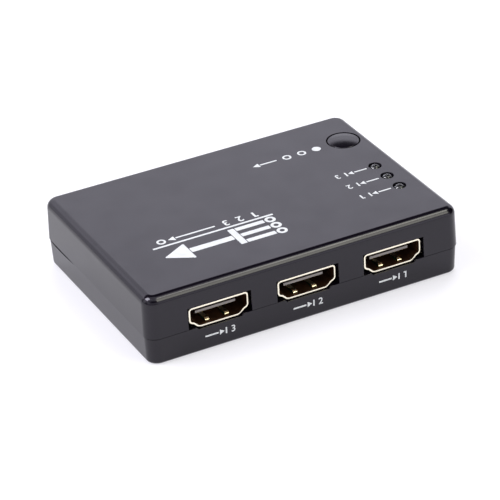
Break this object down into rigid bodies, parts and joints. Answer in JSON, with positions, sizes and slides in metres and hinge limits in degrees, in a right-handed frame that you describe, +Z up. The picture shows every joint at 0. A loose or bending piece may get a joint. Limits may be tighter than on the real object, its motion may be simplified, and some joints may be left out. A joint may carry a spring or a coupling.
{
  "type": "video switch box",
  "caption": "Flat black video switch box with a row of input sockets in front, an output socket and jacks behind, and a round push button and indicator lamps on top.",
  "frame": {"origin": "centre of the underside", "axes": "+X along the row of inputs, to the right when they face the viewer; +Y towards the output side; +Z up"},
  "size_m": [0.08, 0.057, 0.0174],
  "materials": {
    "case_plastic": "satin black",
    "button_plastic": "satin black",
    "board_laminate": "green solder mask",
    "gold_plate": "pale gold plating",
    "contact_gold": "gold plating",
    "socket_plastic": "dark grey",
    "jack_plastic": "black",
    "screw_steel": "zinc plated",
    "spring_steel": "bright",
    "tinned_metal": "tinned",
    "plunger_plastic": "off white",
    "lamp_resin": "clear resin",
    "chip_plastic": "moulded black",
    "can_metal": "bare",
    "capacitor_ceramic": "tan",
    "resistor_ceramic": "black coat"
  },
  "bodies": {
    "case": {"top_cover": "case_plastic", "bottom_cover": "case_plastic", "case_screws": "screw_steel", "circuit_board": "board_laminate", "switch_base": "jack_plastic", "switch_plate": "spring_steel", "switch_dome": "spring_steel", "switch_legs": "tinned_metal", "lamp_1": "lamp_resin", "lamp_2": "lamp_resin", "lamp_3": "lamp_resin", "lamp_leads": "tinned_metal", "power_jack_housing": "jack_plastic", "power_jack_pin": "tinned_metal", "power_jack_spring": "tinned_metal", "eye_jack_housing": "jack_plastic", "eye_jack_contacts": "tinned_metal", "switching_chip": "chip_plastic", "switching_chip_leads": "tinned_metal", "control_chip": "chip_plastic", "control_chip_leads": "tinned_metal", "regulator": "chip_plastic", "regulator_leads": "tinned_metal", "capacitor_cans": "can_metal", "capacitor_bases": "jack_plastic", "chip_capacitors": "capacitor_ceramic", "chip_resistors": "resistor_ceramic", "supply_diodes": "chip_plastic", "input_1_shell": "gold_plate", "input_1_insulator": "socket_plastic", "input_1_contacts": "contact_gold", "input_2_shell": "gold_plate", "input_2_insulator": "socket_plastic", "input_2_contacts": "contact_gold", "input_3_shell": "gold_plate", "input_3_insulator": "socket_plastic", "input_3_contacts": "contact_gold", "output_shell": "gold_plate", "output_insulator": "socket_plastic", "output_contacts": "contact_gold"},
    "button": {"select_button": "button_plastic"},
    "plunger": {"switch_plunger": "plunger_plastic"}
  },
  "joints": [
    {"name": "button_press", "type": "slide", "parent": "case", "child": "button", "axis": [0, 0, -1], "range_m": [0, 0.00035], "stiffness_N_per_m": 4500},
    {"name": "plunger_press", "type": "slide", "parent": "case", "child": "plunger", "axis": [0, 0, -1], "range_m": [0, 0.00035], "deforming": ["switch_dome"]}
  ],
  "couplings": [
    {"joint": "plunger_press", "follows": "button_press", "ratio": 1}
  ]
}
